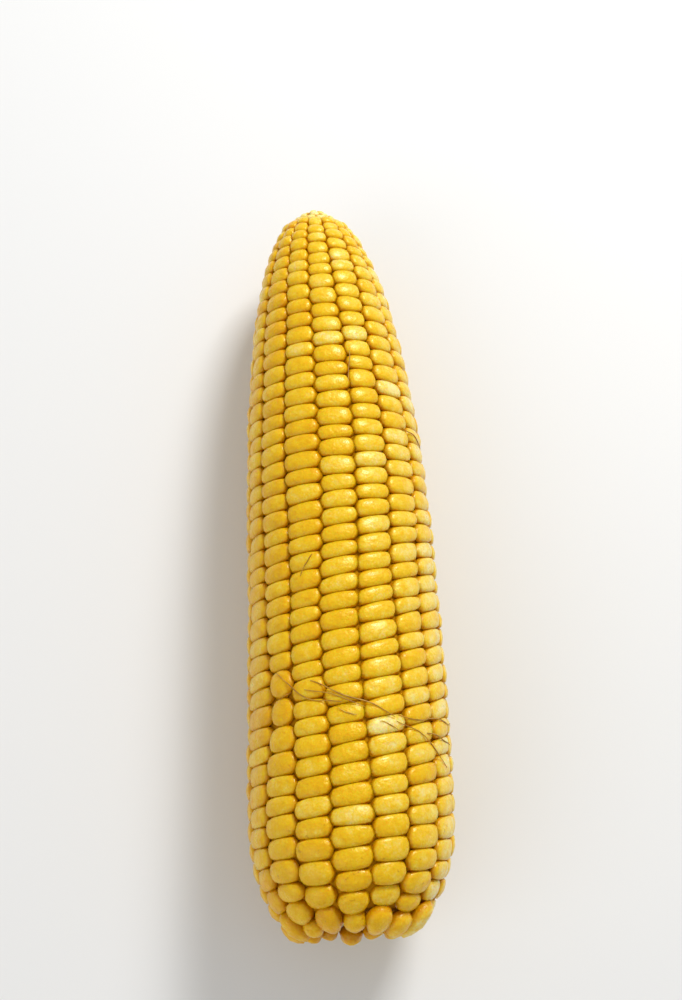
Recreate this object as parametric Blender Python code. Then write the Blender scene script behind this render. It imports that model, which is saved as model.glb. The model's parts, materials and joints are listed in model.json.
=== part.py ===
"""Husked ear of sweet corn, lying on its side on the floor.

The ear is one natural body: a cob packed with sixteen rows of kernels, a small
pale point at the tip and the cut stalk scar at the butt. Dry silk threads lie
loose over its upper side.

Axes: the ear runs along Y, butt towards -Y and tip towards +Y, and +Z is up.
The origin is under the middle of the ear, at floor level. Lengths below are in
millimetres and are turned into metres as each point is placed.
"""

import math
import random

import bmesh
import bpy
import numpy as np
from mathutils import Matrix, Vector
from mathutils.bvhtree import BVHTree

MM = 0.001

# The ear's outline, measured over the kernels.
EAR_LENGTH = 182.0
EAR_RADIUS = 24.0
BUTT_ROUNDING = 30.0
BUTT_SQUARENESS = 2.5
TIP_ROUNDING = 95.0
TIP_SQUARENESS = 2.6
TAPER_FROM = 40.0
TAPER_PER_MM = 0.00115
SIDE_BOW = 2.1

# Where the kernels start round the stalk scar and stop below the tip.
BUTT_OPENING_RADIUS = 10.6
TIP_OPENING_RADIUS = 7.4
TIP_POINT_HEIGHT = 3.2

# The kernel rows.
ROWS = 16
ROW_START_DEG = -11.0
ROW_WANDER = 0.045
KERNEL_PITCH = 4.1
BUTT_PITCH_EXTRA = 2.3
BUTT_PITCH_REACH = 22.0
TIP_PITCH_LOSS = 1.1
PITCH_JITTER = 0.09
ROW_STAGGER = 0.5
STAGGER_JITTER = 0.13

# Where a bundle of rows leans sideways, and where one row has grown tall kernels that
# its neighbour squeezes narrow.
LEAN_DEG = -4.6
LEAN_PLACE = 0.42
LEAN_SPREAD = 0.14
LEAN_RAIL = 1.5
LEAN_REACH = 2.1
FAT_ROW = 14
FAT_PLACE = 54.5
FAT_SPREAD = 7.0
FAT_GROWTH = 0.75
FAT_SQUEEZE_DEG = 6.5
FAT_SQUEEZE_SPREAD = 14.0

# One kernel: how deep the seams round it are, and how broad its crown is.
ROW_SEAM_DEPTH = 2.0
CROSS_SEAM_DEPTH = 1.15
CROWN_HEIGHT_JITTER = 0.14
CROWN_INSET_ACROSS = 0.23
CROWN_INSET_ALONG = 0.20

# The cut stalk at the butt.
STALK_RADIUS = 9.2
STALK_FACE_RADIUS = 8.9
STALK_FACE_SETBACK = 1.2

# Loose silk threads: place from the butt (mm) and round the ear from the top
# (degrees) at the start, the same at the end, then sideways bow and ripple (mm).
SILK_RADIUS = 0.15
SILK_LIFT = 0.62
SILK_STEP = 2.2
SILK_SIDES = 5
SILK_THREADS = (
    (59.5, -43.7, 51.0, -4.3, -2.4, 0.25),
    (56.2, -21.5, 47.6, 24.7, 0.0, 0.35),
    (49.8, -6.5, 48.0, 3.4, -0.4, 0.05),
    (47.9, 27.2, 48.5, 84.5, -0.8, 0.55),
    (46.7, 25.8, 36.9, 64.8, 1.1, 0.30),
    (44.4, 46.5, 42.6, 74.3, 0.2, 0.20),
    (46.5, 16.1, 44.3, 26.6, 0.3, 0.05),
    (85.5, -18.0, 81.0, -25.8, 0.5, 0.15),
    (135.8, 14.8, 128.1, 11.2, 0.2, 0.25),
    (117.7, 50.1, 115.0, 76.0, 0.6, 0.20),
    (54.6, -25.0, 49.7, 8.0, 0.5, 0.10),
    (53.4, -41.5, 54.5, -34.5, 0.2, 0.05),
)

# The layout of the rows, and the heights of the crowns: these heights give the ear a
# steady set of crowns to lie on.
SEED = 16
CROWN_SEED = 67


def outline_radius(along):
    """Radius over the kernels at a distance from the butt."""
    butt = np.clip((BUTT_ROUNDING - along) / BUTT_ROUNDING, 0.0, 1.0) ** BUTT_SQUARENESS
    tip_start = EAR_LENGTH - TIP_POINT_HEIGHT * 0.5 - TIP_ROUNDING
    tip = np.clip((along - tip_start) / TIP_ROUNDING, 0.0, 1.0) ** TIP_SQUARENESS
    taper = 1.0 - TAPER_PER_MM * np.clip(along - TAPER_FROM, 0.0, None)
    return EAR_RADIUS * taper * (1.0 - butt) ** (1.0 / BUTT_SQUARENESS) * (1.0 - tip) ** (1.0 / TIP_SQUARENESS)


def meridian():
    """The outline as arc length, distance from butt, radius and outward normal."""
    turn = np.linspace(0.0, math.pi, 4001)
    along = (EAR_LENGTH - TIP_POINT_HEIGHT * 0.5) * 0.5 * (1.0 - np.cos(turn))
    radius = outline_radius(along)
    first = int(np.argmax(radius > BUTT_OPENING_RADIUS))
    last = len(radius) - int(np.argmax(radius[::-1] > TIP_OPENING_RADIUS))
    along = along[first:last]
    radius = radius[first:last]
    step_along = np.gradient(along)
    step_radius = np.gradient(radius)
    step = np.hypot(step_along, step_radius)
    arc = np.concatenate([[0.0], np.cumsum(np.hypot(np.diff(along), np.diff(radius)))])
    return arc, along, radius, -step_radius / step, step_along / step


ARC, ALONG, RADIUS, NORMAL_ALONG, NORMAL_OUT = meridian()
ARC_LENGTH = float(ARC[-1])


def place(arc, angle, lift):
    """A point on the ear: along the outline, round the axis, and out from the outline."""
    along = np.interp(arc, ARC, ALONG) + lift * np.interp(arc, ARC, NORMAL_ALONG)
    radius = np.interp(arc, ARC, RADIUS) + lift * np.interp(arc, ARC, NORMAL_OUT)
    bow = SIDE_BOW * (1.0 - (2.0 * along / EAR_LENGTH - 1.0) ** 2)
    across = bow + radius * math.sin(angle)
    up = radius * math.cos(angle)
    return Vector((across * MM, (along - EAR_LENGTH / 2.0) * MM, up * MM))


def kernel_counts(row):
    """Running kernel count along a row: long kernels at the butt, short ones at the tip."""
    butt = np.exp(-ARC / BUTT_PITCH_REACH)
    tip = np.clip((ARC - (ARC_LENGTH - 36.0)) / 36.0, 0.0, 1.0) ** 1.5
    pitch = KERNEL_PITCH + BUTT_PITCH_EXTRA * butt - TIP_PITCH_LOSS * tip
    if row == FAT_ROW:
        pitch = pitch * (1.0 + FAT_GROWTH * np.exp(-(((ARC - FAT_PLACE) / FAT_SPREAD) ** 2)))
    return np.concatenate([[0.0], np.cumsum(np.diff(ARC) / pitch[1:])])


def row_boundaries(row, rng):
    """Arc positions of the seams that part one row's kernels, from butt to tip."""
    counts = kernel_counts(row)
    total = float(counts[-1])
    shift = ROW_STAGGER * (row % 2) + rng.uniform(-STAGGER_JITTER, STAGGER_JITTER)
    places = [0.0]
    for number in range(1, int(total) + 1):
        count = number + shift + rng.uniform(-PITCH_JITTER, PITCH_JITTER)
        if 0.55 < count < total - 0.55:
            places.append(count)
    places.append(total)
    return [round(float(np.interp(count, counts, ARC)), 4) for count in places]


def rail_waves(rng):
    """For each seam between two rows: an offset and the phases of its slow sideways waves."""
    waves = []
    for rail in range(ROWS):
        offset = rng.uniform(-1.0, 1.0)
        waves.append((offset, rng.uniform(0.0, 6.28), rng.uniform(0.0, 6.28)))
    return waves


def rail_angle(rail, arc, waves):
    """Angle round the ear of the seam between two rows at one place along it."""
    offset, slow, quick = waves[rail % ROWS]
    share = 2.0 * math.pi / ROWS
    along = arc / ARC_LENGTH
    wander = math.sin(9.0 * along + slow) + 0.6 * math.sin(22.0 * along + quick) + 0.5 * offset
    rows_off = abs((rail - LEAN_RAIL + ROWS / 2.0) % ROWS - ROWS / 2.0)
    lean = math.exp(-(((along - LEAN_PLACE) / LEAN_SPREAD) ** 2)) / (1.0 + (rows_off / LEAN_REACH) ** 8)
    squeeze = math.exp(-(((arc - FAT_PLACE) / FAT_SQUEEZE_SPREAD) ** 2)) if rail % ROWS == FAT_ROW else 0.0
    start = math.radians(ROW_START_DEG + LEAN_DEG * lean + FAT_SQUEEZE_DEG * squeeze)
    return start + share * (rail + ROW_WANDER * wander)


def add_tri(mesh, first, second, third):
    mesh.faces.new((first, second, third))


def join_side(mesh, chain, low, high):
    """Fills between a seam's chain of points and one side of a kernel's crown."""
    switch = max(1, len(chain) // 2)
    for index in range(len(chain) - 1):
        corner = low if index < switch else high
        add_tri(mesh, chain[index], chain[index + 1], corner)
    add_tri(mesh, chain[switch], high, low)


def build_rings(mesh, ring, rings_wanted, centre):
    """Closes an open end: rings of points one inside the other, then a centre point."""
    for points in rings_wanted:
        new_ring = [mesh.verts.new(point) for point in points]
        count = len(ring)
        for index in range(count):
            following = (index + 1) % count
            mesh.faces.new((ring[index], ring[following], new_ring[following], new_ring[index]))
        ring = new_ring
    middle = mesh.verts.new(centre)
    for index in range(len(ring)):
        add_tri(mesh, ring[index], ring[(index + 1) % len(ring)], middle)


def circle_points(radius, along, angles):
    """Points of a round section of the stalk or of the tip's point."""
    bow = SIDE_BOW * (1.0 - (2.0 * along / EAR_LENGTH - 1.0) ** 2)
    height = (along - EAR_LENGTH / 2.0) * MM
    return [
        Vector(((bow + radius * math.sin(angle)) * MM, height, radius * math.cos(angle) * MM))
        for angle in angles
    ]


def build_ear(rng, crowns):
    """The ear as one closed body: every kernel is a crown raised above its seams."""
    mesh = bmesh.new()
    waves = rail_waves(rng)
    rows = [row_boundaries(row, rng) for row in range(ROWS)]
    rails = []
    for rail in range(ROWS):
        places = sorted(set(rows[rail - 1]) | set(rows[rail]))
        rails.append({arc: mesh.verts.new(place(arc, rail_angle(rail, arc, waves), -ROW_SEAM_DEPTH)) for arc in places})
    butt_ring = []
    butt_angles = []
    tip_ring = []
    tip_angles = []
    for row in range(ROWS):
        left = rails[row]
        right = rails[(row + 1) % ROWS]
        seams = rows[row]
        middles = {}
        for arc in seams:
            angle = 0.5 * (rail_angle(row, arc, waves) + rail_angle(row + 1, arc, waves))
            middles[arc] = mesh.verts.new(place(arc, angle, -CROSS_SEAM_DEPTH))
        for low, high in zip(seams[:-1], seams[1:]):
            span = high - low
            height = crowns.uniform(-CROWN_HEIGHT_JITTER, CROWN_HEIGHT_JITTER)
            inset = CROWN_INSET_ALONG * crowns.uniform(0.85, 1.2)
            crown = []
            for along_share, across_share in ((inset, 0.0), (inset, 1.0), (1.0 - inset, 1.0), (1.0 - inset, 0.0)):
                arc = low + span * along_share
                start = rail_angle(row, arc, waves)
                width = rail_angle(row + 1, arc, waves) - start
                share = CROWN_INSET_ACROSS + (1.0 - 2.0 * CROWN_INSET_ACROSS) * across_share
                crown.append(mesh.verts.new(place(arc, start + width * share, height)))
            low_left, low_right, high_right, high_left = crown
            add_tri(mesh, low_left, low_right, high_right)
            add_tri(mesh, low_left, high_right, high_left)
            left_chain = [left[arc] for arc in sorted(left) if low <= arc <= high]
            right_chain = [right[arc] for arc in sorted(right) if low <= arc <= high]
            join_side(mesh, left_chain, low_left, high_left)
            join_side(mesh, right_chain, low_right, high_right)
            join_side(mesh, [left[low], middles[low], right[low]], low_left, low_right)
            join_side(mesh, [left[high], middles[high], right[high]], high_left, high_right)
        for ring, angles, arc in ((butt_ring, butt_angles, 0.0), (tip_ring, tip_angles, seams[-1])):
            angle = rail_angle(row, arc, waves)
            ring.extend((left[arc], middles[arc]))
            angles.extend((angle, angle + math.pi / ROWS))
    seam_along = (butt_ring[0].co.y / MM) + EAR_LENGTH / 2.0
    stalk = [
        circle_points(STALK_RADIUS, seam_along + 0.35, butt_angles),
        circle_points(STALK_FACE_RADIUS, STALK_FACE_SETBACK, butt_angles),
    ]
    build_rings(mesh, butt_ring, stalk, circle_points(0.0, STALK_FACE_SETBACK, (0.0,))[0])
    tip_along = (tip_ring[0].co.y / MM) + EAR_LENGTH / 2.0
    rise = EAR_LENGTH - tip_along
    point = [
        circle_points(5.1, tip_along + 0.30 * rise, tip_angles),
        circle_points(3.6, tip_along + 0.62 * rise, tip_angles),
        circle_points(1.8, tip_along + 0.90 * rise, tip_angles),
    ]
    build_rings(mesh, tip_ring, point, circle_points(0.0, EAR_LENGTH, (0.0,))[0])
    bmesh.ops.triangulate(mesh, faces=[face for face in mesh.faces if len(face.verts) > 3])
    bmesh.ops.recalc_face_normals(mesh, faces=mesh.faces)
    return mesh


def build_silk(thread, number):
    """One dry silk thread: a thin tube that follows the ear just above its kernels."""
    start_along, start_deg, end_along, end_deg, bow, ripple = thread
    start_arc = float(np.interp(start_along, ALONG, ARC))
    end_arc = float(np.interp(end_along, ALONG, ARC))
    reach = math.hypot(end_arc - start_arc, math.radians(end_deg - start_deg) * EAR_RADIUS)
    steps = max(4, int(reach / SILK_STEP))
    path = []
    for index in range(steps + 1):
        share = index / steps
        arc = start_arc + (end_arc - start_arc) * share
        arc += bow * math.sin(math.pi * share) + ripple * math.sin(9.5 * share + number)
        angle = math.radians(start_deg + (end_deg - start_deg) * share)
        path.append((place(arc, angle, SILK_LIFT), place(arc, angle, SILK_LIFT + 1.0)))
    mesh = bmesh.new()
    rings = []
    for index, (point, above) in enumerate(path):
        ahead = path[min(index + 1, steps)][0] - path[max(index - 1, 0)][0]
        out = (above - point).normalized()
        side = ahead.cross(out).normalized()
        out = side.cross(ahead).normalized()
        ring = []
        for corner in range(SILK_SIDES):
            turn = 2.0 * math.pi * corner / SILK_SIDES
            offset = out * math.cos(turn) + side * math.sin(turn)
            ring.append(mesh.verts.new(point + offset * SILK_RADIUS * MM))
        rings.append(ring)
    for ring, next_ring in zip(rings[:-1], rings[1:]):
        for corner in range(SILK_SIDES):
            following = (corner + 1) % SILK_SIDES
            mesh.faces.new((ring[corner], ring[following], next_ring[following], next_ring[corner]))
    mesh.faces.new(rings[0])
    mesh.faces.new(rings[-1])
    bmesh.ops.triangulate(mesh, faces=mesh.faces[:])
    bmesh.ops.recalc_face_normals(mesh, faces=mesh.faces)
    return mesh


def balance_point(mesh):
    """Centre of the body's volume."""
    total = 0.0
    moment = Vector((0.0, 0.0, 0.0))
    for face in mesh.faces:
        first, second, third = (vert.co for vert in face.verts)
        part = first.dot(second.cross(third)) / 6.0
        total += part
        moment += part * (first + second + third) / 4.0
    return moment / total


def resting_turn(mesh):
    """The turn that lays the ear down on the crowns that carry it."""
    hull = mesh.copy()
    made = bmesh.ops.convex_hull(hull, input=hull.verts)
    outside = {item for item in made["geom"] if isinstance(item, bmesh.types.BMFace)}
    loose = [face for face in hull.faces if face not in outside]
    bmesh.ops.delete(hull, geom=loose, context="FACES_ONLY")
    bmesh.ops.recalc_face_normals(hull, faces=hull.faces)
    hull.faces.ensure_lookup_table()
    tree = BVHTree.FromBMesh(hull)
    centre = balance_point(mesh)
    down = Vector((0.0, 0.0, -1.0))
    for _ in range(60):
        hit, normal, index, distance = tree.ray_cast(centre, down)
        normal = hull.faces[index].normal.copy()
        if normal.dot(down) > 0.9999999:
            break
        down = normal
    hull.free()
    return down.rotation_difference(Vector((0.0, 0.0, -1.0))).to_matrix().to_4x4()


def add_node(name, mesh, colour, roughness):
    """Puts one body in the scene as a named object with a material of its own."""
    data = bpy.data.meshes.new(name)
    mesh.to_mesh(data)
    mesh.free()
    node = bpy.data.objects.new(name, data)
    bpy.context.scene.collection.objects.link(node)
    material = bpy.data.materials.new(name + "_material")
    material.use_nodes = True
    shader = material.node_tree.nodes["Principled BSDF"]
    shader.inputs["Base Color"].default_value = colour
    shader.inputs["Roughness"].default_value = roughness
    data.materials.append(material)
    return node


def build():
    for old in list(bpy.data.objects):
        bpy.data.objects.remove(old, do_unlink=True)
    rng = random.Random(SEED)
    ear = build_ear(rng, random.Random(CROWN_SEED))
    threads = [build_silk(thread, number) for number, thread in enumerate(SILK_THREADS)]
    turn = resting_turn(ear)
    bmesh.ops.transform(ear, matrix=turn, verts=ear.verts)
    points = np.array([vert.co for vert in ear.verts])
    low = points.min(axis=0)
    high = points.max(axis=0)
    move = Matrix.Translation((-(low[0] + high[0]) / 2.0, -(low[1] + high[1]) / 2.0, -low[2]))
    bmesh.ops.transform(ear, matrix=move, verts=ear.verts)
    add_node("corn_ear", ear, (0.80, 0.50, 0.03, 1.0), 0.35)
    for number, thread in enumerate(threads, start=1):
        bmesh.ops.transform(thread, matrix=move @ turn, verts=thread.verts)
        add_node(f"silk_strand_{number:02d}", thread, (0.24, 0.12, 0.03, 1.0), 0.6)


build()
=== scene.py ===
# %% [markdown]
# # A husked ear of sweet corn
# An ear of corn is a woody cob packed all round with kernels in long rows. Husked,
# trimmed at the stalk and laid on its side, it shows little but kernels: glossy
# pillows pressed so tightly together that only creases and small pits part them.
# The cell below loads the finished solid model, which fixes the ear's size, its
# place on the floor and the way it lies.

import json
import math
import random

import bmesh
import bpy
import numpy as np
from mathutils import Matrix, Vector
from mathutils.bvhtree import BVHTree

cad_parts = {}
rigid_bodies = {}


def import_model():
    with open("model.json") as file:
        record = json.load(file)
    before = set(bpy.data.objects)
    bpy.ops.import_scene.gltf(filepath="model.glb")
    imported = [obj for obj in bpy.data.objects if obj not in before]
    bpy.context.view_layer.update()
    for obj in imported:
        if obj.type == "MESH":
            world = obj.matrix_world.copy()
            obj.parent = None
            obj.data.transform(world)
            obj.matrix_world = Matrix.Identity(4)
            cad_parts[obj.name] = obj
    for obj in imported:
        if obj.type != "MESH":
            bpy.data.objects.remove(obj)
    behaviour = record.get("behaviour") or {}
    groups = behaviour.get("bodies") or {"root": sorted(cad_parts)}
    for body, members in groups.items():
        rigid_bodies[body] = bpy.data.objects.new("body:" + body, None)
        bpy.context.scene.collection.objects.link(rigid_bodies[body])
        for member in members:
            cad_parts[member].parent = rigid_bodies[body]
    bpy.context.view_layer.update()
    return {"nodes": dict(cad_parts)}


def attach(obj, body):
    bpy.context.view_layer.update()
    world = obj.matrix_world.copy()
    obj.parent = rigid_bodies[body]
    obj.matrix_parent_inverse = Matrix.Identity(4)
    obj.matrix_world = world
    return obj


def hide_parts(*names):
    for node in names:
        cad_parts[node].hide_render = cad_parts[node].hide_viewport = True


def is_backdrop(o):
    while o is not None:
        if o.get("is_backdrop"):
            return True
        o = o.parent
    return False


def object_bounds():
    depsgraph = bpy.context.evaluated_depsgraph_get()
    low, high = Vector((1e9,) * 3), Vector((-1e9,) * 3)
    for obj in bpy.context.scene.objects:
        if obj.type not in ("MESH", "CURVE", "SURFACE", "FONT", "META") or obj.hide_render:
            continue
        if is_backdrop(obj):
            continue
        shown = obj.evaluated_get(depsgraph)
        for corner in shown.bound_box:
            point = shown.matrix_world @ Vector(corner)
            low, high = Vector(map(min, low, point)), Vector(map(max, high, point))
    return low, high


for leftover in list(bpy.data.objects):
    bpy.data.objects.remove(leftover, do_unlink=True)
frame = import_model()
SILK_NODES = sorted(name for name in frame["nodes"] if name.startswith("silk_strand"))
print("silk threads on it:", len(SILK_NODES))

# %% [markdown]
# ## How the ear is laid out
# A kernel has no free choice of place. It sits in its row, between two seams that
# run from butt to tip, and between its two neighbours in that row. So the whole ear
# can be laid out like a street map: a distance along the ear, an angle round it and
# a height above its skin. Every piece below asks this map where to go. The numbers
# repeat those of the solid model, so the fine kernels land where its kernels are.

# %% The ear's outline
MM = 0.001
EAR_LENGTH = 182.0
EAR_RADIUS = 24.0
BUTT_ROUNDING, BUTT_SQUARENESS = 30.0, 2.5
TIP_ROUNDING, TIP_SQUARENESS = 95.0, 2.6
TAPER_FROM, TAPER_PER_MM = 40.0, 0.00115
SIDE_BOW = 2.1
BUTT_OPENING_RADIUS, TIP_OPENING_RADIUS = 10.6, 7.4
TIP_POINT_HEIGHT = 3.2


def outline_radius(along):
    """Half the ear's thickness, in millimetres, at a distance from the butt."""
    butt = np.clip((BUTT_ROUNDING - along) / BUTT_ROUNDING, 0.0, 1.0) ** BUTT_SQUARENESS
    tip_start = EAR_LENGTH - TIP_POINT_HEIGHT * 0.5 - TIP_ROUNDING
    tip = np.clip((along - tip_start) / TIP_ROUNDING, 0.0, 1.0) ** TIP_SQUARENESS
    taper = 1.0 - TAPER_PER_MM * np.clip(along - TAPER_FROM, 0.0, None)
    butt_share = (1.0 - butt) ** (1.0 / BUTT_SQUARENESS)
    tip_share = (1.0 - tip) ** (1.0 / TIP_SQUARENESS)
    return EAR_RADIUS * taper * butt_share * tip_share


def walk_outline():
    """Walks over the skin from butt to tip, noting the way gone, the place and the slope."""
    turn = np.linspace(0.0, math.pi, 4001)
    along = (EAR_LENGTH - TIP_POINT_HEIGHT * 0.5) * 0.5 * (1.0 - np.cos(turn))
    radius = outline_radius(along)
    first = int(np.argmax(radius > BUTT_OPENING_RADIUS))
    last = len(radius) - int(np.argmax(radius[::-1] > TIP_OPENING_RADIUS))
    along, radius = along[first:last], radius[first:last]
    step_along, step_radius = np.gradient(along), np.gradient(radius)
    step = np.hypot(step_along, step_radius)
    arc = np.concatenate([[0.0], np.cumsum(np.hypot(np.diff(along), np.diff(radius)))])
    return arc, along, radius, -step_radius / step, step_along / step


ARC, ALONG, RADIUS, NORMAL_ALONG, NORMAL_OUT = walk_outline()
ARC_LENGTH = float(ARC[-1])
print("length over the skin from stalk scar to tip, mm:", round(ARC_LENGTH, 1))

# %% [markdown]
# ## Where the ear lies
# The ear has no feet. It rolls until its weight rests on the few kernels under its
# balance point, so it lies a degree or two off level. The solid model found that
# resting place, and it is repeated here: one turn and one shift take the straight
# street map to the real place on the floor.

# %% Where the ear lies
EAR_LIE = Matrix((
    (0.999931, 0.000181, -0.011729),
    (0.000181, 0.999522, 0.030911),
    (0.011729, -0.030911, 0.999453),
))
EAR_AXIS_PLACE = np.array([-1.2885, -0.4622, 22.5357])
LIE = np.array(EAR_LIE)


def bow_at(along):
    """Sideways bow of the ear's middle line, in millimetres."""
    return SIDE_BOW * (1.0 - (2.0 * along / EAR_LENGTH - 1.0) ** 2)


def lay_down(points):
    """Takes millimetres on the straight ear to metres on the resting one."""
    return (points @ LIE.T + EAR_AXIS_PLACE) * MM


def on_ear(arc, angle, lift):
    """Places on the ear, in metres: along its skin, round it, and above its skin."""
    along = np.interp(arc, ARC, ALONG) + lift * np.interp(arc, ARC, NORMAL_ALONG)
    radius = np.interp(arc, ARC, RADIUS) + lift * np.interp(arc, ARC, NORMAL_OUT)
    across = bow_at(along) + radius * np.sin(angle)
    return lay_down(np.stack([across, along - EAR_LENGTH / 2.0, radius * np.cos(angle)], axis=-1))


print("top of the ear, halfway along, m:", on_ear(ARC_LENGTH / 2, 0.0, 0.0).round(4))

# %% [markdown]
# ## Rows and seams
# Sweet corn always has an even number of rows, because they grow in pairs. This ear
# has sixteen. The seams between rows wander a little, in one place a bundle of rows
# leans sideways, and in one row a few kernels had room to grow tall and narrow.
# Kernels are longest at the butt and shortest at the tip.

# %% Seams between the rows
ROWS = 16
ROW_START_DEG = -11.0
ROW_WANDER = 0.045
LEAN_DEG, LEAN_PLACE, LEAN_SPREAD, LEAN_RAIL, LEAN_REACH = -4.6, 0.42, 0.14, 1.5, 2.1
FAT_ROW, FAT_PLACE, FAT_SPREAD, FAT_GROWTH = 14, 54.5, 7.0, 0.75
FAT_SQUEEZE_DEG, FAT_SQUEEZE_SPREAD = 6.5, 14.0
ROW_SEED = 16
ANY_TURN = 6.28
layout = random.Random(ROW_SEED)
SEAM_WAVES = [
    (layout.uniform(-1.0, 1.0), layout.uniform(0.0, ANY_TURN), layout.uniform(0.0, ANY_TURN))
    for _ in range(ROWS)
]


def seam_angle(seam, arc):
    """Angle round the ear of the seam to the left of a row, at one or more places along it."""
    offset, slow, quick = SEAM_WAVES[seam % ROWS]
    share = 2.0 * math.pi / ROWS
    along = arc / ARC_LENGTH
    wander = np.sin(9.0 * along + slow) + 0.6 * np.sin(22.0 * along + quick) + 0.5 * offset
    rows_off = abs((seam - LEAN_RAIL + ROWS / 2.0) % ROWS - ROWS / 2.0)
    lean = np.exp(-(((along - LEAN_PLACE) / LEAN_SPREAD) ** 2)) / (1.0 + (rows_off / LEAN_REACH) ** 8)
    squeeze = np.exp(-(((arc - FAT_PLACE) / FAT_SQUEEZE_SPREAD) ** 2)) if seam % ROWS == FAT_ROW else 0.0
    start = np.radians(ROW_START_DEG + LEAN_DEG * lean + FAT_SQUEEZE_DEG * squeeze)
    return start + share * (seam + ROW_WANDER * wander)


print("rows:", ROWS, "width of one at its widest, mm:", round(2 * math.pi * EAR_RADIUS / ROWS, 1))

# %% Seams between one kernel and the next
KERNEL_PITCH, BUTT_PITCH_EXTRA, BUTT_PITCH_REACH, TIP_PITCH_LOSS = 4.1, 2.3, 22.0, 1.1
PITCH_JITTER, ROW_STAGGER, STAGGER_JITTER = 0.09, 0.5, 0.13


def kernel_seams(row):
    """Places along a row where one kernel ends and the next begins."""
    butt = np.exp(-ARC / BUTT_PITCH_REACH)
    tip = np.clip((ARC - (ARC_LENGTH - 36.0)) / 36.0, 0.0, 1.0) ** 1.5
    pitch = KERNEL_PITCH + BUTT_PITCH_EXTRA * butt - TIP_PITCH_LOSS * tip
    if row == FAT_ROW:
        pitch = pitch * (1.0 + FAT_GROWTH * np.exp(-(((ARC - FAT_PLACE) / FAT_SPREAD) ** 2)))
    counts = np.concatenate([[0.0], np.cumsum(np.diff(ARC) / pitch[1:])])
    total = float(counts[-1])
    shift = ROW_STAGGER * (row % 2) + layout.uniform(-STAGGER_JITTER, STAGGER_JITTER)
    wanted = []
    for number in range(1, int(total) + 1):
        wanted.append(number + shift + layout.uniform(-PITCH_JITTER, PITCH_JITTER))
    inner = [count for count in wanted if 0.55 < count < total - 0.55]
    return np.interp([0.0] + inner + [total], counts, ARC)


SEAMS = [kernel_seams(row) for row in range(ROWS)]
print("kernels in each row:", [len(seams) - 1 for seams in SEAMS])

# %% [markdown]
# ## Helpers for modelling by hand
# A few small helpers keep the steps below readable. One starts a fresh primitive
# with everything else deselected. One selects a part of it in edit mode by a rule.
# One takes a straight shape, modelled along the ear's middle line, to the place and
# the slight bow of the resting ear. One gives a finished piece its material.

# %% Modelling helpers


def fresh(name, add, **size):
    """Adds one primitive with nothing else selected, and names it."""
    bpy.ops.object.select_all(action="DESELECT")
    add(**size)
    piece = bpy.context.object
    piece.name = name
    piece.data.name = name
    return piece


def choose(piece, kind, rule):
    """In edit mode, selects the vertices, edges or faces that a rule picks."""
    bpy.ops.mesh.select_mode(type=kind)
    bpy.ops.mesh.select_all(action="DESELECT")
    mesh = bmesh.from_edit_mesh(piece.data)
    parts = {"VERT": mesh.verts, "EDGE": mesh.edges, "FACE": mesh.faces}[kind]
    for part in parts:
        part.select_set(rule(part))
    mesh.select_flush_mode()
    bmesh.update_edit_mesh(piece.data)


def edge_runs(axis):
    """A rule that picks edges that run along one axis."""
    return lambda edge: abs((edge.verts[0].co - edge.verts[1].co).normalized()[axis]) > 0.9


def bend_onto_ear(piece, points):
    """Moves a straight piece's points, in millimetres from the butt, onto the bowed, resting ear."""
    points[:, 0] += bow_at(points[:, 1])
    points[:, 1] -= EAR_LENGTH / 2.0
    piece.data.vertices.foreach_set("co", lay_down(points).ravel())
    piece.data.update()


def finish_piece(piece, material, slot_name, *nodes):
    """Gives a finished piece its material, attaches it to the ear and hides the solid-model parts it
    replaces. The slot name is not used.
    """
    piece.data.materials.append(material)
    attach(piece, "root")
    if nodes:
        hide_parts(*nodes)
    print(piece.name, "faces:", len(piece.data.polygons))


# %% [markdown]
# ## One kernel
# A kernel is a wedge: a broad, rounded crown over a root that narrows towards the
# cob. It could be sculpted, or grown from a sphere. A cube is the better start here,
# because neighbours press each kernel into a rounded box. The cube is divided like a
# loaf, rounded with To Sphere, and its foot is narrowed. With nearly seven hundred
# copies on the ear, it is kept to a few dozen faces, most of them in the crown.

# %% Model one kernel from a cube
kernel = fresh("kernel", bpy.ops.mesh.primitive_cube_add, size=2.0)
bpy.ops.object.mode_set(mode="EDIT")
for axis, cuts in ((0, 4), (1, 3), (2, 1)):
    choose(kernel, "EDGE", edge_runs(axis))
    bpy.ops.mesh.subdivide(number_cuts=cuts)
bpy.ops.mesh.select_all(action="SELECT")
bpy.ops.transform.tosphere(value=0.80)
choose(kernel, "VERT", lambda vert: vert.co.z < -0.3)
bpy.ops.transform.resize(value=(0.72, 0.72, 1.0), center_override=(0.0, 0.0, -1.0))
choose(kernel, "FACE", lambda face: all(vert.co.z < -0.3 for vert in face.verts))
bpy.ops.mesh.dissolve_faces()
bpy.ops.object.mode_set(mode="OBJECT")
KERNEL_POINTS = np.array([vert.co[:] for vert in kernel.data.vertices])
KERNEL_FACES = [tuple(face.vertices) for face in kernel.data.polygons]
KERNEL_UNIT = KERNEL_POINTS / np.abs(KERNEL_POINTS).max(axis=0)
bpy.data.objects.remove(kernel, do_unlink=True)
print("kernel: points", len(KERNEL_UNIT), "faces", len(KERNEL_FACES))

# %% [markdown]
# ## Fitting a kernel into its cell
# Each copy of the kernel is stretched to fill its own cell, between its two row
# seams and its two neighbours. It is made slightly too big, so that neighbours press
# into each other and meet in a crease, as real ones do. No two match: each gets its
# own height and tilt. The last few at the butt have no neighbours below them, so
# they swell into pearls, and a kernel with room to grow tall turns oval.

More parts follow.
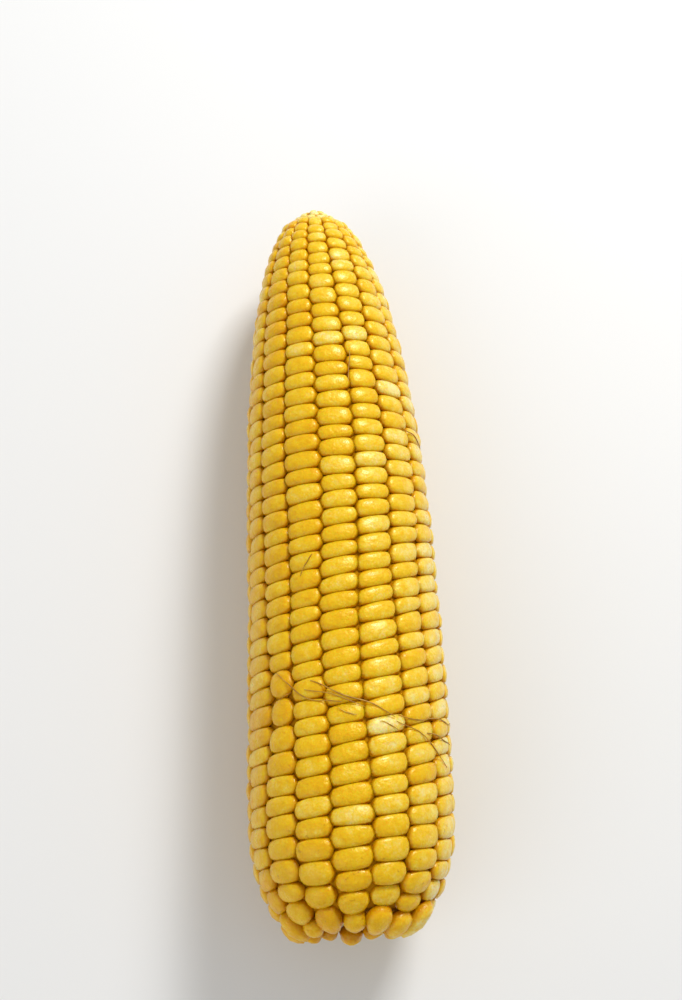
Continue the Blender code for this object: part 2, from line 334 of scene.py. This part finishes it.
# %% Stretch the kernel to its cell
KERNEL_DEPTH, DOME_DEPTH, PEARL_DOME_EXTRA, DOME_FLATNESS = 3.3, 1.3, 2.2, 0.85
CROWD_ACROSS, CROWD_LENGTHWISE = 1.15, 1.15
PEARL_REACH = 22.0
TALL_KERNEL, TALL_KERNEL_SPAN = 5.3, 1.3
BOXED, BOXED_LESS_WHEN_OVAL = 0.88, 0.2
PEARL_ACROSS, PEARL_LENGTHWISE, PEARL_SHIFT = 0.02, 0.04, 0.14
OVAL_ACROSS, OVAL_LENGTHWISE = 0.32, 0.26
CROWN_JITTER, PEARL_CROWN_JITTER = (-0.16, 0.18), (-0.1, 0.9)
TILT_ACROSS, TILT_LENGTHWISE, PEARL_NOD = 0.16, 0.14, 0.25
LOOSE_ROW_END = (-0.3, 1.1)
END_PEARL_LIFT = (0.7, 1.6)


def fit_kernel(row, low, high, slopes, swell, chance):
    """One kernel's points, stretched to its cell. A swell lifts its crown, in millimetres."""
    unit_across, unit_lengthwise, unit_height = KERNEL_UNIT.T
    pearl = max(0.0, 1.0 - 0.5 * (low + high) / PEARL_REACH)
    tallness = (high - low - TALL_KERNEL) / TALL_KERNEL_SPAN if row == FAT_ROW else 0.0
    oval = min(1.0, max(pearl, tallness))
    boxed = np.sign(unit_across) * np.abs(unit_across) ** (BOXED + BOXED_LESS_WHEN_OVAL * oval)
    narrower_ends = OVAL_ACROSS * oval * unit_lengthwise ** 2
    rounder_sides = OVAL_LENGTHWISE * oval * boxed ** 2
    across = boxed * (CROWD_ACROSS + PEARL_ACROSS * pearl - narrower_ends)
    lengthwise = unit_lengthwise * (CROWD_LENGTHWISE + PEARL_LENGTHWISE * pearl - rounder_sides)
    across = across + pearl * chance.uniform(-PEARL_SHIFT, PEARL_SHIFT)
    middle = 0.5 * (low + high)
    row_turn = float(seam_angle(row + 1, middle) - seam_angle(row, middle))
    row_width = float(np.interp(middle, ARC, RADIUS)) * row_turn
    low_edge = low + slopes[0] * 0.5 * row_width * across
    high_edge = high + slopes[1] * 0.5 * row_width * across
    arc = 0.5 * (low_edge + high_edge) + 0.5 * (high_edge - low_edge) * lengthwise
    left, right = seam_angle(row, arc), seam_angle(row + 1, arc)
    angle = 0.5 * (left + right) + 0.5 * (right - left) * across
    crown = swell + chance.uniform(*CROWN_JITTER) + pearl * chance.uniform(*PEARL_CROWN_JITTER)
    tilt = chance.uniform(-TILT_ACROSS, TILT_ACROSS) * across
    tilt = tilt + (chance.uniform(-TILT_LENGTHWISE, TILT_LENGTHWISE) - PEARL_NOD * pearl) * lengthwise
    rise = np.clip(unit_height, 0.0, 1.0)
    sink = np.clip(-unit_height, 0.0, 1.0)
    dome = DOME_DEPTH + PEARL_DOME_EXTRA * pearl ** 1.5
    lift = crown + tilt * rise - dome * (1.0 - rise) ** DOME_FLATNESS - (KERNEL_DEPTH - DOME_DEPTH) * sink
    return on_ear(arc, angle, lift)


def join_kernels(name, cells):
    """One mesh of many kernels. Each cell gives its points and its tone: how far the kernel ripened, plus
    painted side light.
    """
    points = np.concatenate([cell[0] for cell in cells])
    faces = []
    for number in range(len(cells)):
        first = number * len(KERNEL_UNIT)
        faces += [tuple(first + index for index in face) for face in KERNEL_FACES]
    data = bpy.data.meshes.new(name)
    data.from_pydata(points.tolist(), [], faces)
    ripeness_and_side_light = data.attributes.new("ripeness_and_side_light", "FLOAT", "POINT")
    ripeness_and_side_light.data.foreach_set("value", np.repeat([cell[1] for cell in cells], len(KERNEL_UNIT)))
    height = data.attributes.new("height", "FLOAT", "POINT")
    height.data.foreach_set("value", np.tile(np.clip(KERNEL_UNIT[:, 2], 0.0, 1.0), len(cells)))
    data.shade_smooth()
    piece = bpy.data.objects.new(name, data)
    bpy.context.scene.collection.objects.link(piece)
    return piece


print("a kernel reaches, mm below the skin:", KERNEL_DEPTH)

# %% [markdown]
# ## Filling the rows
# The rings of kernels climb slightly from left to right along the middle of the ear,
# because rows grow at their own speed. Each kernel also has its own ripeness, from
# pale to deep gold, and one kernel stayed pale. On top of that, painted side light
# makes the rows on the lit right side paler and those on the left deeper gold.
# This tone and the height within the kernel are stored with the mesh, one number
# for each point, for the material to read.

# %% Fill the rows with kernels
RING_RISE, RING_RISE_PLACE, RING_RISE_SPREAD, RING_JITTER = 0.15, 66.0, 42.0, 0.05
RIPENESS, RIPENESS_SPREAD, LIT_SIDE_PALENESS = 0.50, 0.10, 0.14
LEAST_RIPE, MOST_RIPE = 0.2, 0.85
PALE_KERNELS, PALE_RIPENESS = ((1, 48.5), (2, 131.0)), 0.15
KERNEL_SEED = 5
chance = random.Random(KERNEL_SEED)
cells = []
for row, seams in enumerate(SEAMS):
    row_angle = float(seam_angle(row, ARC_LENGTH / 2.0)) + math.pi / ROWS
    # Painted side light: rows on the lit right side are painted paler, rows on the left deeper gold.
    row_ripeness_and_side_light = RIPENESS - LIT_SIDE_PALENESS * math.sin(row_angle) + chance.uniform(-0.04, 0.04)
    slopes = []
    for seam in seams:
        fade = math.exp(-(((seam - RING_RISE_PLACE) / RING_RISE_SPREAD) ** 2))
        rise = RING_RISE * (1.0 + math.sin(row_angle)) * fade
        slopes.append(rise + chance.uniform(-RING_JITTER, RING_JITTER))
    for number, (low, high) in enumerate(zip(seams[:-1], seams[1:])):
        ripeness_and_side_light = min(max(chance.gauss(row_ripeness_and_side_light, RIPENESS_SPREAD), LEAST_RIPE), MOST_RIPE)
        if any(row == pale_row and low < place < high for pale_row, place in PALE_KERNELS):
            ripeness_and_side_light = PALE_RIPENESS
        swell = 0.0
        if number == 0:
            low = low + chance.uniform(*LOOSE_ROW_END)
            swell = chance.uniform(*END_PEARL_LIFT)
        cells.append((fit_kernel(row, low, high, slopes[number:number + 2], swell, chance), ripeness_and_side_light))
kernels = join_kernels("kernels", cells)
kernel_triangles = sum(len(face) - 2 for face in KERNEL_FACES)
print("kernels on the ear:", len(cells), "triangles:", kernel_triangles * len(cells))

# %% [markdown]
# ## The small kernels at the tip
# The last kernels at the tip never filled out. They are pale beads, set in shrinking
# rings round the point of the cob. They use the same kernel model, only far smaller
# and set square to the sloping tip.

# %% Set the small kernels round the tip
TIP_RINGS = ((13, 177.4, 6.0, 1.45), (11, 178.9, 4.7, 1.30), (8, 180.1, 3.3, 1.15), (5, 181.0, 1.9, 0.95))
TIP_SLOPE = math.radians(42.0)
BEAD_SQUASH, BEAD_RISE, BEAD_SINK = 0.8, 1.1, 0.55
beads = []
for count, along, radius, size in TIP_RINGS:
    start = chance.uniform(0.0, ANY_TURN)
    for number in range(count):
        turn = start + 2.0 * math.pi * (number + chance.uniform(-0.12, 0.12)) / count
        round_axis = np.array([math.cos(turn), 0.0, -math.sin(turn)])
        outward = np.array([math.sin(turn), 0.0, math.cos(turn)])
        normal = outward * math.cos(TIP_SLOPE) + np.array([0.0, math.sin(TIP_SLOPE), 0.0])
        uphill = np.cross(normal, round_axis)
        ring_middle = np.array([bow_at(along), along - EAR_LENGTH / 2.0, 0.0])
        middle = ring_middle + outward * (radius + chance.uniform(-0.15, 0.15))
        grown = size * chance.uniform(0.85, 1.1)
        points = (
            middle
            + np.outer(KERNEL_UNIT[:, 0] * grown, round_axis)
            + np.outer(KERNEL_UNIT[:, 1] * grown * BEAD_SQUASH, uphill)
            + np.outer((KERNEL_UNIT[:, 2] - BEAD_SINK) * grown * BEAD_RISE, normal)
        )
        beads.append((lay_down(points), chance.uniform(0.0, 0.15)))
tip_kernels = join_kernels("tip_kernels", beads)
print("small kernels at the tip:", len(beads))

# %% [markdown]
# ## The cob between the kernels
# Where four kernels meet, a small pit lets the eye down to the cob. The cob could be
# a plain cylinder, but it has to follow the ear's own outline to stay out of sight.
# So it is stacked from slices: one circle is extruded and scaled, station by
# station, from the cut stalk to the pale point at the tip. The first and the last
# slice close its ends.

# %% Stack the cob from slices
COB_DEPTH = 1.8
COB_SIDES, COB_SLICES = 48, 40
STALK_RADIUS = 7.8
BARE_TIP_STATIONS = ((177.4, 5.2), (179.0, 4.0), (180.4, 2.7), (181.3, 1.3))
stations = [(5.4, STALK_RADIUS - 0.2), (6.0, STALK_RADIUS + 1.0)]
for arc in np.linspace(3.0, ARC_LENGTH - 1.0, COB_SLICES):
    along = float(np.interp(arc, ARC, ALONG) - COB_DEPTH * np.interp(arc, ARC, NORMAL_ALONG))
    radius = float(np.interp(arc, ARC, RADIUS) - COB_DEPTH * np.interp(arc, ARC, NORMAL_OUT))
    if along > stations[-1][0] + 0.6:
        stations.append((along, radius))
stations += BARE_TIP_STATIONS

cob = fresh("cob", bpy.ops.mesh.primitive_circle_add, vertices=COB_SIDES, radius=stations[0][1],
            fill_type="NGON", location=(0.0, stations[0][0], 0.0), rotation=(math.pi / 2, 0.0, 0.0))
bpy.ops.object.transform_apply(location=True, rotation=True, scale=True)
bpy.ops.object.mode_set(mode="EDIT")
bpy.ops.mesh.select_all(action="SELECT")
for (along, radius), (next_along, next_radius) in zip(stations[:-1], stations[1:]):
    bpy.ops.mesh.extrude_region_move(TRANSFORM_OT_translate={"value": (0.0, next_along - along, 0.0)})
    share = next_radius / radius
    bpy.ops.transform.resize(value=(share, 1.0, share), center_override=(0.0, next_along, 0.0))
bpy.ops.mesh.select_all(action="SELECT")
bpy.ops.mesh.normals_make_consistent(inside=False)
bpy.ops.object.mode_set(mode="OBJECT")
bend_onto_ear(cob, np.array([vert.co[:] for vert in cob.data.vertices]))
cob.data.shade_smooth()
print("cob slices:", len(stations))

# %% [markdown]
# ## The cut stalk
# The stalk was sliced off a little inside the last ring of kernels, which stand round
# it like a collar. The cut shows a thin green-brown rind round pale, stringy pith. A
# disc is cut from a circle and built up ring by ring: each step pushes the face out
# or in and draws it smaller, so the rind stands up as a rim and the drying pith sinks
# a little. A slow wave keeps the slice from looking turned on a lathe.

# %% Cut stalk face
SCAR_SIDES = 40
SCAR_BACK, SCAR_FACE = 7.0, 4.6
SCAR_STEPS = (
    (SCAR_FACE + 0.3 - SCAR_BACK, 0.0), (-0.3, 0.25), (0.0, 0.55), (0.35, 0.35),
    (0.0, 1.6), (-0.15, 1.9), (0.0, 1.9),
)
scar = fresh("stalk_scar", bpy.ops.mesh.primitive_circle_add, vertices=SCAR_SIDES, radius=STALK_RADIUS,
             fill_type="NGON", location=(0.0, SCAR_BACK, 0.0), rotation=(math.pi / 2, 0.0, 0.0))
bpy.ops.object.transform_apply(location=True, rotation=True, scale=True)
bpy.ops.object.mode_set(mode="EDIT")
bpy.ops.mesh.select_all(action="SELECT")
for push, drawn_in in SCAR_STEPS:
    bpy.ops.mesh.extrude_region_move(TRANSFORM_OT_translate={"value": (0.0, push, 0.0)})
    edge = max(vert.co.xz.length for vert in bmesh.from_edit_mesh(scar.data).verts if vert.select)
    share = (edge - drawn_in) / edge
    bpy.ops.transform.resize(value=(share, 1.0, share), center_override=(0.0, 0.0, 0.0))
bpy.ops.mesh.poke()
bpy.ops.mesh.select_all(action="SELECT")
bpy.ops.mesh.normals_make_consistent(inside=False)
bpy.ops.object.mode_set(mode="OBJECT")
rounds = np.array([vert.co[:] for vert in scar.data.vertices])
turn = np.arctan2(rounds[:, 0], rounds[:, 2])
reach_out = np.hypot(rounds[:, 0], rounds[:, 2])
rounds[:, 1] += 0.12 * np.sin(5.0 * turn + reach_out) + 0.08 * np.sin(3.0 * turn - 1.3 * reach_out)
rounds[:, [0, 2]] *= (1.0 + 0.018 * np.sin(7.0 * turn) + 0.012 * np.sin(11.0 * turn + 1.0))[:, None]
bend_onto_ear(scar, rounds)
SCAR_MIDDLE = lay_down(np.array([bow_at(SCAR_FACE), SCAR_FACE - EAR_LENGTH / 2.0, 0.0]))
bpy.ops.object.shade_smooth_by_angle(angle=math.radians(40.0))
print("cut stalk, mm across:", round(2 * STALK_RADIUS, 1))

# %% [markdown]
# ## Tools for the finishes
# Every finish below is a small net of nodes. These helpers add the nodes that come
# back in each: a ramp that turns a number into a colour, a cloudy noise fixed to the
# object, a sum, a rescaled number, and a mix of two colours.

# %% Helpers for the finishes


def new_material(name):
    """A fresh material with its node net, its links and its main shader."""
    material = bpy.data.materials.new(name)
    material.use_nodes = True
    tree = material.node_tree
    return material, tree.nodes, tree.links, tree.nodes["Principled BSDF"]


def feed(links, socket, value):
    """Sets a socket to a number or a colour, or links it to another node's result."""
    if isinstance(value, (int, float, tuple)):
        socket.default_value = value
    else:
        links.new(value, socket)


def colour_ramp(nodes, links, value, stops):
    """Turns a number into a colour, by stops of place and colour."""
    ramp = nodes.new("ShaderNodeValToRGB")
    while len(ramp.color_ramp.elements) < len(stops):
        ramp.color_ramp.elements.new(0.5)
    for element, (place, colour) in zip(ramp.color_ramp.elements, stops):
        element.position = place
        element.color = (*colour, 1.0)
    links.new(value, ramp.inputs["Fac"])
    return ramp.outputs["Color"]


def cloud(nodes, links, where, scale, detail):
    """Soft noise from 0 to 1. Its lumps are about 1 / scale metres wide."""
    texture = nodes.new("ShaderNodeTexNoise")
    texture.inputs["Scale"].default_value = scale
    texture.inputs["Detail"].default_value = detail
    links.new(where.outputs["Object"], texture.inputs["Vector"])
    return texture.outputs["Fac"]


def reckon(nodes, links, operation, *values):
    """One sum on up to three numbers, such as ADD or MULTIPLY."""
    node = nodes.new("ShaderNodeMath")
    node.operation = operation
    for socket, value in zip(node.inputs, values):
        feed(links, socket, value)
    return node.outputs[0]


def rescale(nodes, links, value, from_low, from_high, to_low=0.0, to_high=1.0):
    """Stretches one range of a number to another, and clips it there."""
    node = nodes.new("ShaderNodeMapRange")
    sockets = ("From Min", "From Max", "To Min", "To Max")
    for socket, number in zip(sockets, (from_low, from_high, to_low, to_high)):
        node.inputs[socket].default_value = number
    links.new(value, node.inputs["Value"])
    return node.outputs["Result"]


def mix_colours(nodes, links, share, first, second, blend="MIX"):
    """Mixes two colours by a share."""
    mix = nodes.new("ShaderNodeMix")
    mix.data_type = "RGBA"
    mix.blend_type = blend
    for value, socket in ((share, mix.inputs[0]), (first, mix.inputs[6]), (second, mix.inputs[7])):
        feed(links, socket, value)
    return mix.outputs[2]


print("helpers ready")

# %% [markdown]
# ## Kernel skin
# A ripe kernel is a thin, glossy skin over soft, wet flesh, so light goes a little
# way in and comes out more golden. The crown is painted paler as painted light, and
# the flanks are painted deep amber towards the creases: painted shade and glow where
# two kernels touch, with some of the flank's own deeper tone. A flat yellow would look
# like plastic. Here the colour runs along a ramp from cream to deep gold, driven by
# each kernel's own ripeness with painted side light, by cloudy blotches of a
# millimetre or two, and by fine grain. Small puckers break up the shine, and a few
# brown specks sit on the kernels by the butt.

# %% Kernel skin material
kernel_skin, nodes, links, shader = new_material("kernel_skin")
where = nodes.new("ShaderNodeTexCoord")
# This tone holds each kernel's ripeness plus painted side light, paler on the lit right side.
ripeness_and_side_light_attribute = nodes.new("ShaderNodeAttribute")
ripeness_and_side_light_attribute.attribute_name = "ripeness_and_side_light"
height = nodes.new("ShaderNodeAttribute")
height.attribute_name = "height"
blotches = cloud(nodes, links, where, 480.0, 3.0)
grain = cloud(nodes, links, where, 2100.0, 2.0)
# Painted light: the crown of each kernel is painted paler and its lower part deeper gold, as the light falls
# on it.
painted_crown_light = rescale(nodes, links, height.outputs["Fac"], 0.55, 1.0, 0.10, -0.12)
tone = reckon(nodes, links, "ADD", ripeness_and_side_light_attribute.outputs["Fac"], painted_crown_light)
tone = reckon(nodes, links, "ADD", tone, reckon(nodes, links, "MULTIPLY_ADD", blotches, 0.85, -0.425))
tone = reckon(nodes, links, "ADD", tone, reckon(nodes, links, "MULTIPLY_ADD", grain, 0.55, -0.275))
yellow = colour_ramp(nodes, links, tone, (
    (0.0, (0.87, 0.71, 0.27)), (0.2, (0.86, 0.60, 0.08)), (0.4, (0.83, 0.52, 0.008)),
    (0.65, (0.79, 0.445, 0.0)), (1.0, (0.72, 0.35, 0.0)),
))
# Painted shade, partly own colour: each kernel turns deep amber down its flanks towards the creases,
# standing in for shade and glow where kernels meet as well as the deeper tone low on a kernel.
flank_tone_and_crease_shade = rescale(nodes, links, height.outputs["Fac"], 0.80, 0.25)
amber = mix_colours(nodes, links, flank_tone_and_crease_shade, yellow, (0.64, 0.29, 0.0, 1.0))

place = nodes.new("ShaderNodeSeparateXYZ")
links.new(where.outputs["Object"], place.inputs[0])
near_butt = rescale(nodes, links, place.outputs["Y"], -0.056, -0.070, 0.0, 0.45)
speck_spots = rescale(nodes, links, cloud(nodes, links, where, 620.0, 2.0), 0.66, 0.74)
specks = reckon(nodes, links, "MULTIPLY", speck_spots, near_butt)
speckled = mix_colours(nodes, links, specks, amber, (0.36, 0.15, 0.004, 1.0))
links.new(speckled, shader.inputs["Base Color"])

links.new(rescale(nodes, links, blotches, 0.25, 0.75, 0.24, 0.46), shader.inputs["Roughness"])
shader.inputs["Specular IOR Level"].default_value = 0.5
shader.inputs["Specular Tint"].default_value = (1.0, 0.82, 0.34, 1.0)
shader.inputs["Subsurface Weight"].default_value = 0.6
shader.inputs["Subsurface Radius"].default_value = (1.0, 0.5, 0.06)
shader.inputs["Subsurface Scale"].default_value = 0.0025
shader.inputs["Coat Weight"].default_value = 0.18
shader.inputs["Coat Roughness"].default_value = 0.14
puckers = reckon(nodes, links, "MULTIPLY_ADD", cloud(nodes, links, where, 1300.0, 3.0), 0.6, blotches)
bump = nodes.new("ShaderNodeBump")
bump.inputs["Strength"].default_value = 0.7
bump.inputs["Distance"].default_value = 0.0005
links.new(puckers, bump.inputs["Height"])
links.new(bump.outputs["Normal"], shader.inputs["Normal"])

finish_piece(kernels, kernel_skin, "kernels", "corn_ear")
finish_piece(tip_kernels, kernel_skin, "kernels")

# %% [markdown]
# ## Cob skin
# Between the kernels the cob is covered in dry, papery chaff. It is matt. Its dark
# amber-brown is painted shade for the deep pits, tinted like the gold around it as
# painted glow. Cloudy noise is enough, because only specks of it can be seen.

# %% Cob skin material
cob_chaff_and_pit_shade, nodes, links, shader = new_material("cob_chaff_and_pit_shade")
where = nodes.new("ShaderNodeTexCoord")
# Painted shade: the chaff is coloured dark amber-brown so that the pits between the kernels read as shadow.
chaff_and_pit_shade_colour = colour_ramp(nodes, links, cloud(nodes, links, where, 700.0, 5.0), (
    (0.3, (0.40, 0.16, 0.0)), (0.7, (0.56, 0.26, 0.0)),
))
links.new(chaff_and_pit_shade_colour, shader.inputs["Base Color"])
shader.inputs["Roughness"].default_value = 0.85
shader.inputs["Specular IOR Level"].default_value = 0.1
flakes = nodes.new("ShaderNodeBump")
flakes.inputs["Strength"].default_value = 0.5
flakes.inputs["Distance"].default_value = 0.0003
links.new(cloud(nodes, links, where, 1600.0, 3.0), flakes.inputs["Height"])
links.new(flakes.outputs["Normal"], shader.inputs["Normal"])
finish_piece(cob, cob_chaff_and_pit_shade, "kernels")

# %% [markdown]
# ## Cut pith
# A fresh cut through the stalk is creamy in the middle, greener towards the rind,
# and dotted with the ends of its strings. Rings of colour are laid out by distance
# from the middle of the cut, which a Mapping node finds, and small cells give the
# strings. A brown stain marks where the cut has dried.

# %% Cut pith material
stalk_pith, nodes, links, shader = new_material("stalk_pith")
where = nodes.new("ShaderNodeTexCoord")
centred = nodes.new("ShaderNodeMapping")
centred.inputs["Location"].default_value = [-float(value) for value in SCAR_MIDDLE]
links.new(where.outputs["Object"], centred.inputs["Vector"])
away = nodes.new("ShaderNodeVectorMath")
away.operation = "LENGTH"
links.new(centred.outputs["Vector"], away.inputs[0])
ring = reckon(nodes, links, "MULTIPLY", away.outputs["Value"], 1.0 / (STALK_RADIUS * MM))
ring_colour = colour_ramp(nodes, links, ring, (
    (0.0, (0.80, 0.72, 0.50)), (0.55, (0.78, 0.70, 0.44)), (0.80, (0.62, 0.55, 0.25)),
    (0.90, (0.42, 0.40, 0.14)), (1.0, (0.36, 0.24, 0.08)),
))
strings = nodes.new("ShaderNodeTexVoronoi")
strings.inputs["Scale"].default_value = 900.0
links.new(where.outputs["Object"], strings.inputs["Vector"])
string_dots = colour_ramp(nodes, links, strings.outputs["Distance"], (
    (0.16, (0.58, 0.46, 0.24)), (0.44, (1.0, 1.0, 1.0)),
))
stain = colour_ramp(nodes, links, cloud(nodes, links, where, 260.0, 4.0), (
    (0.35, (0.66, 0.50, 0.30)), (0.62, (1.0, 1.0, 1.0)),
))
dotted = mix_colours(nodes, links, 0.7, ring_colour, string_dots, "MULTIPLY")
links.new(mix_colours(nodes, links, 0.8, dotted, stain, "MULTIPLY"), shader.inputs["Base Color"])
shader.inputs["Roughness"].default_value = 0.75
shader.inputs["Subsurface Weight"].default_value = 0.2
shader.inputs["Subsurface Scale"].default_value = 0.001
fibre = nodes.new("ShaderNodeBump")
fibre.inputs["Strength"].default_value = 0.6
fibre.inputs["Distance"].default_value = 0.0005
links.new(strings.outputs["Distance"], fibre.inputs["Height"])
links.new(fibre.outputs["Normal"], shader.inputs["Normal"])
finish_piece(scar, stalk_pith, "kernels")

# %% [markdown]
# ## Loose silk
# Each kernel once had its own silk thread. After husking, a few dry ones still lie
# across the ear. A thread is too light to bend a kernel: it rests on crown after
# crown and hangs free over the creases between them. So each path is walked over
# the finished kernels by rays, the highest crowns nearby hold it up, and its ups and
# downs are smoothed. A curve with a round bevel then gives it its thickness, thinner
# towards both ends, and is turned into a mesh.

# %% Silk threads
SILK_THREADS = (
    (59.5, -43.7, 51.0, -4.3, -2.4, 0.25, 0.15),
    (56.2, -21.5, 47.6, 24.7, 0.0, 0.35, 0.16),
    (49.8, -6.5, 48.0, 3.4, -0.4, 0.05, 0.12),
    (47.9, 27.2, 48.5, 84.5, -0.8, 0.55, 0.15),
    (46.7, 25.8, 36.9, 64.8, 1.1, 0.30, 0.14),
    (44.4, 46.5, 42.6, 74.3, 0.2, 0.20, 0.15),
    (46.5, 16.1, 44.3, 26.6, 0.3, 0.05, 0.10),
    (85.5, -18.0, 81.0, -25.8, 0.5, 0.15, 0.13),
    (135.8, 14.8, 128.1, 11.2, 0.2, 0.25, 0.11),
    (117.7, 50.1, 115.0, 76.0, 0.6, 0.20, 0.12),
    (54.6, -25.0, 49.7, 8.0, 0.5, 0.10, 0.12),
    (53.4, -41.5, 54.5, -34.5, 0.2, 0.05, 0.10),
)
SILK_STEP = 0.5
SILK_CLEARANCE = 0.10
HELD_REACH, SMOOTH_REACH = 4, 3
RAY_START = 6.0
RIPPLE_RATE = 9.5
THINNEST_SHARE, END_MARGIN = 0.45, 0.04
kernel_tree = BVHTree.FromPolygons(
    [vert.co[:] for vert in kernels.data.vertices],
    [tuple(face.vertices) for face in kernels.data.polygons],
)


def kernel_height(arc, angle):
    """How high the kernels stand at one place, in millimetres over the outline."""
    start, foot = Vector(on_ear(arc, angle, RAY_START)), Vector(on_ear(arc, angle, 0.0))
    hit = kernel_tree.ray_cast(start, (foot - start).normalized())
    return RAY_START - (hit[0] - start).length / MM if hit[0] else -1.0


def silk_path(thread, number):
    """Points along one thread, lying over the crowns."""
    start_along, start_deg, end_along, end_deg, bow, ripple, _ = thread
    start_arc, end_arc = np.interp([start_along, end_along], ALONG, ARC)
    reach = math.hypot(end_arc - start_arc, math.radians(end_deg - start_deg) * EAR_RADIUS)
    steps = max(12, int(reach / SILK_STEP))
    share = np.arange(steps + 1) / steps
    sway = bow * np.sin(math.pi * share) + ripple * np.sin(RIPPLE_RATE * share + number)
    arc = start_arc + (end_arc - start_arc) * share + sway
    angle = np.radians(start_deg + (end_deg - start_deg) * share)
    ground = np.array([kernel_height(*spot) for spot in zip(arc, angle)])
    held = [ground[max(0, index - HELD_REACH):index + HELD_REACH + 1].max() for index in range(len(ground))]
    window = 2 * SMOOTH_REACH + 1
    eased = np.convolve(np.pad(held, SMOOTH_REACH, mode="edge"), np.ones(window) / window, mode="valid")
    lift = np.maximum(eased, ground) + SILK_CLEARANCE
    return [on_ear(*spot) for spot in zip(arc, angle, lift)]


def spin_thread(name, points, radius):
    """A round thread through points, thinner towards both ends, as a mesh."""
    curve = bpy.data.curves.new(name, "CURVE")
    curve.dimensions = "3D"
    curve.bevel_depth = radius * MM
    curve.bevel_resolution = 1
    curve.use_fill_caps = True
    spline = curve.splines.new("POLY")
    spline.points.add(len(points) - 1)
    for index, (point, spot) in enumerate(zip(spline.points, points)):
        point.co = (*spot, 1.0)
        share = min(max(index / (len(points) - 1), END_MARGIN), 1.0 - END_MARGIN)
        point.radius = THINNEST_SHARE + (1.0 - THINNEST_SHARE) * math.sqrt(math.sin(math.pi * share))
    thread = bpy.data.objects.new(name, curve)
    bpy.context.scene.collection.objects.link(thread)
    bpy.ops.object.select_all(action="DESELECT")
    thread.select_set(True)
    bpy.context.view_layer.objects.active = thread
    bpy.ops.object.convert(target="MESH")
    return bpy.context.object


silk_threads = []
for number, thread in enumerate(SILK_THREADS):
    silk_threads.append(spin_thread(f"silk_thread_{number + 1:02d}", silk_path(thread, number), thread[6]))
print("silk threads:", len(silk_threads))

# %% [markdown]
# ## Dry silk
# Fresh silk is pale green. Dried, it turns golden brown, darker where it stayed damp
# longest. The colour drifts along the thread by soft noise, and a little light still
# passes through it.

# %% Dry silk material
dry_silk, nodes, links, shader = new_material("dry_silk")
where = nodes.new("ShaderNodeTexCoord")
drift = cloud(nodes, links, where, 300.0, 2.0)
silk_colour = colour_ramp(nodes, links, drift, ((0.35, (0.32, 0.14, 0.004)), (0.65, (0.60, 0.34, 0.02))))
links.new(silk_colour, shader.inputs["Base Color"])
links.new(rescale(nodes, links, drift, 0.3, 0.7, 0.5, 0.35), shader.inputs["Roughness"])
shader.inputs["Subsurface Weight"].default_value = 0.15
shader.inputs["Subsurface Scale"].default_value = 0.0003
for thread, node in zip(silk_threads, SILK_NODES):
    finish_piece(thread, dry_silk, "silk", node)

# %% [markdown]
# ## Floor and light
# A plain pale floor and soft light show a small, glossy thing best. One softbox on
# the far right gives each kernel its small highlight and a gentle shadow. A broad,
# weak one opposite and a pale sky keep the creases warm and readable.

# %% Floor and light
floor = fresh("floor", bpy.ops.mesh.primitive_plane_add, size=6.0)
pale_floor, nodes, links, shader = new_material("pale_floor")
shader.inputs["Base Color"].default_value = (0.80, 0.80, 0.79, 1.0)
shader.inputs["Roughness"].default_value = 0.7
floor.data.materials.append(pale_floor)
floor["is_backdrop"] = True

SKY_STRENGTH = 0.50
studio = bpy.data.worlds.new("studio")
bpy.context.scene.world = studio
studio.use_nodes = True
studio.node_tree.nodes["Background"].inputs["Color"].default_value = (1.0, 1.0, 1.0, 1.0)
studio.node_tree.nodes["Background"].inputs["Strength"].default_value = SKY_STRENGTH


def softbox(name, place, size, power):
    """A square lamp that looks at the middle of the ear."""
    data = bpy.data.lights.new(name, "AREA")
    data.shape = "SQUARE"
    data.size = size
    data.energy = power
    lamp = bpy.data.objects.new(name, data)
    lamp.location = place
    lamp.rotation_euler = (Vector((0.0, 0.0, 0.02)) - Vector(place)).to_track_quat("-Z", "Y").to_euler()
    bpy.context.scene.collection.objects.link(lamp)


softbox("key", (0.34, 0.56, 0.60), 0.26, 6.2)
softbox("fill", (-0.7, -0.5, 0.6), 0.8, 2.2)
print("sky strength:", SKY_STRENGTH)

# %% [markdown]
# ## Camera
# The camera hangs over the ear and looks almost straight down on it, a little from
# the butt end, so that the rows run up the picture and narrow towards the tip.

# %% Camera
CAMERA_PLACE = (-0.01387, -0.09753, 0.43041)
CAMERA_TURN_DEG = (15.262, -1.324, -3.129)
HALF_VIEW_DEG = 16.0
SENSOR = 36.0
bpy.ops.object.camera_add(location=CAMERA_PLACE, rotation=[math.radians(angle) for angle in CAMERA_TURN_DEG])
camera = bpy.context.object
camera.data.sensor_width = SENSOR
camera.data.lens = SENSOR / 2.0 / math.tan(math.radians(HALF_VIEW_DEG))
bpy.context.scene.camera = camera
bpy.context.scene.view_settings.view_transform = "Standard"
print("lens, mm:", round(camera.data.lens, 1))

# %% [markdown]
# The finished ear has to fill the same box as the solid model. Its size, in
# millimetres, is printed.

# %% Sizes and finish
low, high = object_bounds()
print("finished ear, mm:", [round(1000 * (top - bottom), 1) for bottom, top in zip(low, high)])
